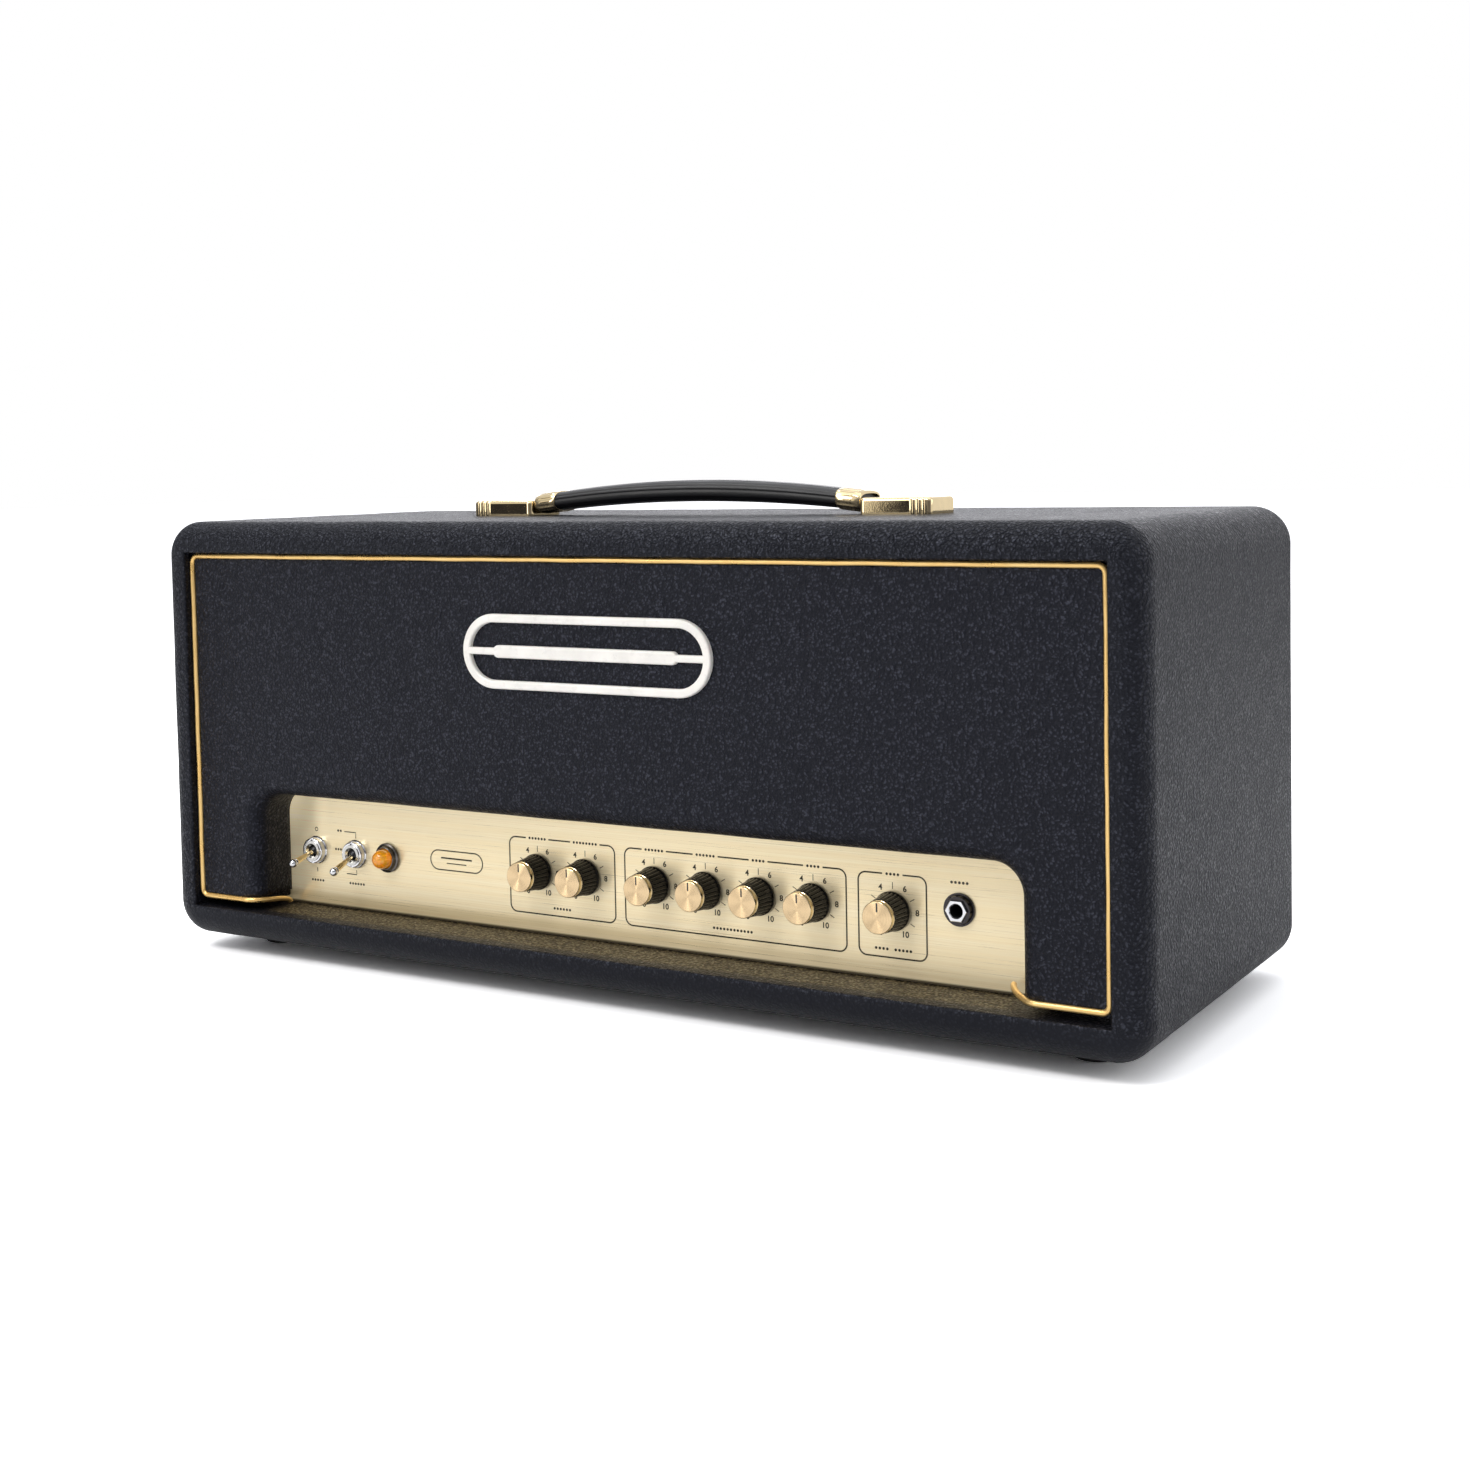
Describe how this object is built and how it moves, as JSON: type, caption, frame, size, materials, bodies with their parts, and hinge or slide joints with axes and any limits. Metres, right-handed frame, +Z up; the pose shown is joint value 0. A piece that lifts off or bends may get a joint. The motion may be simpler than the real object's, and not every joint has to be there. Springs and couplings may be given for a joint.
{
  "type": "guitar amplifier head",
  "caption": "Valve guitar amplifier head: black vinyl-covered box, gold brushed control panel with knobs, toggles, lamp and jack, strap handle on top.",
  "frame": {"origin": "middle of the footprint, on the plane the feet stand on", "axes": "+X to the right seen from the front, -Y out of the front panel, +Z up"},
  "size_m": [0.604, 0.24, 0.2745],
  "materials": {
    "back_grille": "black powder-coated steel",
    "back_panel": "plywood covered in black vinyl",
    "badge": "cream plastic",
    "baffle_core": "laminated plywood",
    "baffle_covering": "black grained vinyl cloth",
    "board_bottom": "plywood",
    "board_left": "plywood",
    "board_parts": "capacitors and resistors",
    "board_right": "plywood",
    "board_top": "plywood",
    "bolts_and_nuts": "zinc-plated steel",
    "cabinet_covering": null,
    "chassis": "folded steel sheet, painted black",
    "circuit_board": "green glass-fibre board",
    "cleats": "softwood battens",
    "control_nuts": "chromed nuts",
    "feet": "black rubber",
    "front_panel": "gold anodised aluminium, brushed along its length",
    "fuse_cap": "black moulded cap",
    "fuse_holder": "black moulded holder",
    "handle_caps": "gold-plated steel",
    "handle_core": "spring-steel strip",
    "handle_ferrules": "gold-plated steel",
    "handle_strap": "black moulded strap",
    "jack_nuts": "black moulded nuts",
    "jack_sockets": "black moulded sockets",
    "knob_bass": "black fluted plastic",
    "knob_gain": "black fluted plastic",
    "knob_master": "black fluted plastic",
    "knob_middle": "black fluted plastic",
    "knob_presence": "black fluted plastic",
    "knob_tilt": "black fluted plastic",
    "knob_treble": "black fluted plastic",
    "knobcap_bass": "gold anodised, spun",
    "knobcap_gain": "gold anodised, spun",
    "knobcap_master": "gold anodised, spun",
    "knobcap_middle": "gold anodised, spun",
    "knobcap_presence": "gold anodised, spun",
    "knobcap_tilt": "gold anodised, spun",
    "knobcap_treble": "gold anodised, spun",
    "lamp_bezel": "dark chrome bezel",
    "lamp_led": "light-emitting diode",
    "lamp_lens": "amber moulded lens",
    "lever_output": "chromed brass lever",
    "lever_power": "chromed brass lever",
    "machine_screws": "zinc-plated steel",
    "mains_inlet": "black moulded inlet",
    "mains_transformer": "varnished laminations",
    "output_transformer": "varnished laminations",
    "piping": "gold plastic piping",
    "pots": "stamped steel cans",
    "power_valves": "clear glass envelopes",
    "preamp_valves": "clear glass envelopes",
    "pull_slider": "switch slider",
    "switch_bodies": "chromed bushing and plastic case",
    "transformer_windings": "taped copper windings",
    "valve_electrodes": "dark nickel electrodes",
    "valve_sockets": "phenolic sockets and bases",
    "wiring": "insulated wire",
    "wood_screws": "black zinc-plated steel"
  },
  "bodies": {
    "cabinet": {"back_grille": "back_grille", "back_panel": "back_panel", "badge": "badge", "baffle_core": "baffle_core", "baffle_covering": "baffle_covering", "board_bottom": "board_bottom", "board_left": "board_left", "board_parts": "board_parts", "board_right": "board_right", "board_top": "board_top", "bolts_and_nuts": "bolts_and_nuts", "cabinet_covering": "cabinet_covering", "chassis": "chassis", "circuit_board": "circuit_board", "cleats": "cleats", "control_nuts": "control_nuts", "feet": "feet", "front_panel": "front_panel", "fuse_holder": "fuse_holder", "handle_caps": "handle_caps", "jack_nuts": "jack_nuts", "jack_sockets": "jack_sockets", "lamp_bezel": "lamp_bezel", "lamp_led": "lamp_led", "lamp_lens": "lamp_lens", "machine_screws": "machine_screws", "mains_inlet": "mains_inlet", "mains_transformer": "mains_transformer", "output_transformer": "output_transformer", "piping": "piping", "pots": "pots", "power_valves": "power_valves", "preamp_valves": "preamp_valves", "switch_bodies": "switch_bodies", "transformer_windings": "transformer_windings", "valve_electrodes": "valve_electrodes", "valve_sockets": "valve_sockets", "wiring": "wiring", "wood_screws": "wood_screws"},
    "handle": {"handle_strap": "handle_strap", "handle_core": "handle_core", "handle_ferrules": "handle_ferrules"},
    "lever_power": {"lever_power": "lever_power"},
    "lever_output": {"lever_output": "lever_output"},
    "pull_slider": {"pull_slider": "pull_slider"},
    "fuse_cap": {"fuse_cap": "fuse_cap"},
    "knob_master": {"knob_master": "knob_master", "knobcap_master": "knobcap_master"},
    "knob_presence": {"knob_presence": "knob_presence", "knobcap_presence": "knobcap_presence"},
    "knob_treble": {"knob_treble": "knob_treble", "knobcap_treble": "knobcap_treble"},
    "knob_middle": {"knob_middle": "knob_middle", "knobcap_middle": "knobcap_middle"},
    "knob_bass": {"knob_bass": "knob_bass", "knobcap_bass": "knobcap_bass"},
    "knob_tilt": {"knob_tilt": "knob_tilt", "knobcap_tilt": "knobcap_tilt"},
    "knob_gain": {"knob_gain": "knob_gain", "knobcap_gain": "knobcap_gain"}
  },
  "joints": [
    {"name": "turn_master", "type": "hinge", "parent": "cabinet", "child": "knob_master", "pos_m": [-0.0558, -0.1, 0.06245], "axis": [0, 1, 0], "range_deg": [-150, 150]},
    {"name": "turn_presence", "type": "hinge", "parent": "cabinet", "child": "knob_presence", "pos_m": [-0.024, -0.1, 0.06245], "axis": [0, 1, 0], "range_deg": [-150, 150]},
    {"name": "turn_treble", "type": "hinge", "parent": "cabinet", "child": "knob_treble", "pos_m": [0.0204, -0.1, 0.06245], "axis": [0, 1, 0], "range_deg": [-150, 150]},
    {"name": "turn_middle", "type": "hinge", "parent": "cabinet", "child": "knob_middle", "pos_m": [0.0522, -0.1, 0.06245], "axis": [0, 1, 0], "range_deg": [-150, 150]},
    {"name": "turn_bass", "type": "hinge", "parent": "cabinet", "child": "knob_bass", "pos_m": [0.084, -0.1, 0.06245], "axis": [0, 1, 0], "range_deg": [-150, 150]},
    {"name": "turn_tilt", "type": "hinge", "parent": "cabinet", "child": "knob_tilt", "pos_m": [0.1158, -0.1, 0.06245], "axis": [0, 1, 0], "range_deg": [-150, 150]},
    {"name": "turn_gain", "type": "hinge", "parent": "pull_slider", "child": "knob_gain", "pos_m": [0.1602, -0.1, 0.06245], "axis": [0, 1, 0], "range_deg": [-150, 150]},
    {"name": "pull_gain", "type": "slide", "parent": "cabinet", "child": "pull_slider", "axis": [0, -1, 0], "range_m": [0, 0.004]},
    {"name": "switch_power", "type": "hinge", "parent": "cabinet", "child": "lever_power", "pos_m": [-0.217, -0.088, 0.061], "axis": [-1, 0, 0], "range_deg": [0, 28]},
    {"name": "switch_output", "type": "hinge", "parent": "cabinet", "child": "lever_output", "pos_m": [-0.1867, -0.088, 0.061], "axis": [-1, 0, 0], "range_deg": [0, 43]},
    {"name": "handle_lift", "type": "slide", "parent": "cabinet", "child": "handle", "axis": [0, 0, 1], "range_m": [0, 0.003]},
    {"name": "fuse_twist", "type": "hinge", "parent": "cabinet", "child": "fuse_cap", "pos_m": [-0.128, 0.11, 0.064], "axis": [0, -1, 0], "range_deg": [-60, 0]}
  ]
}
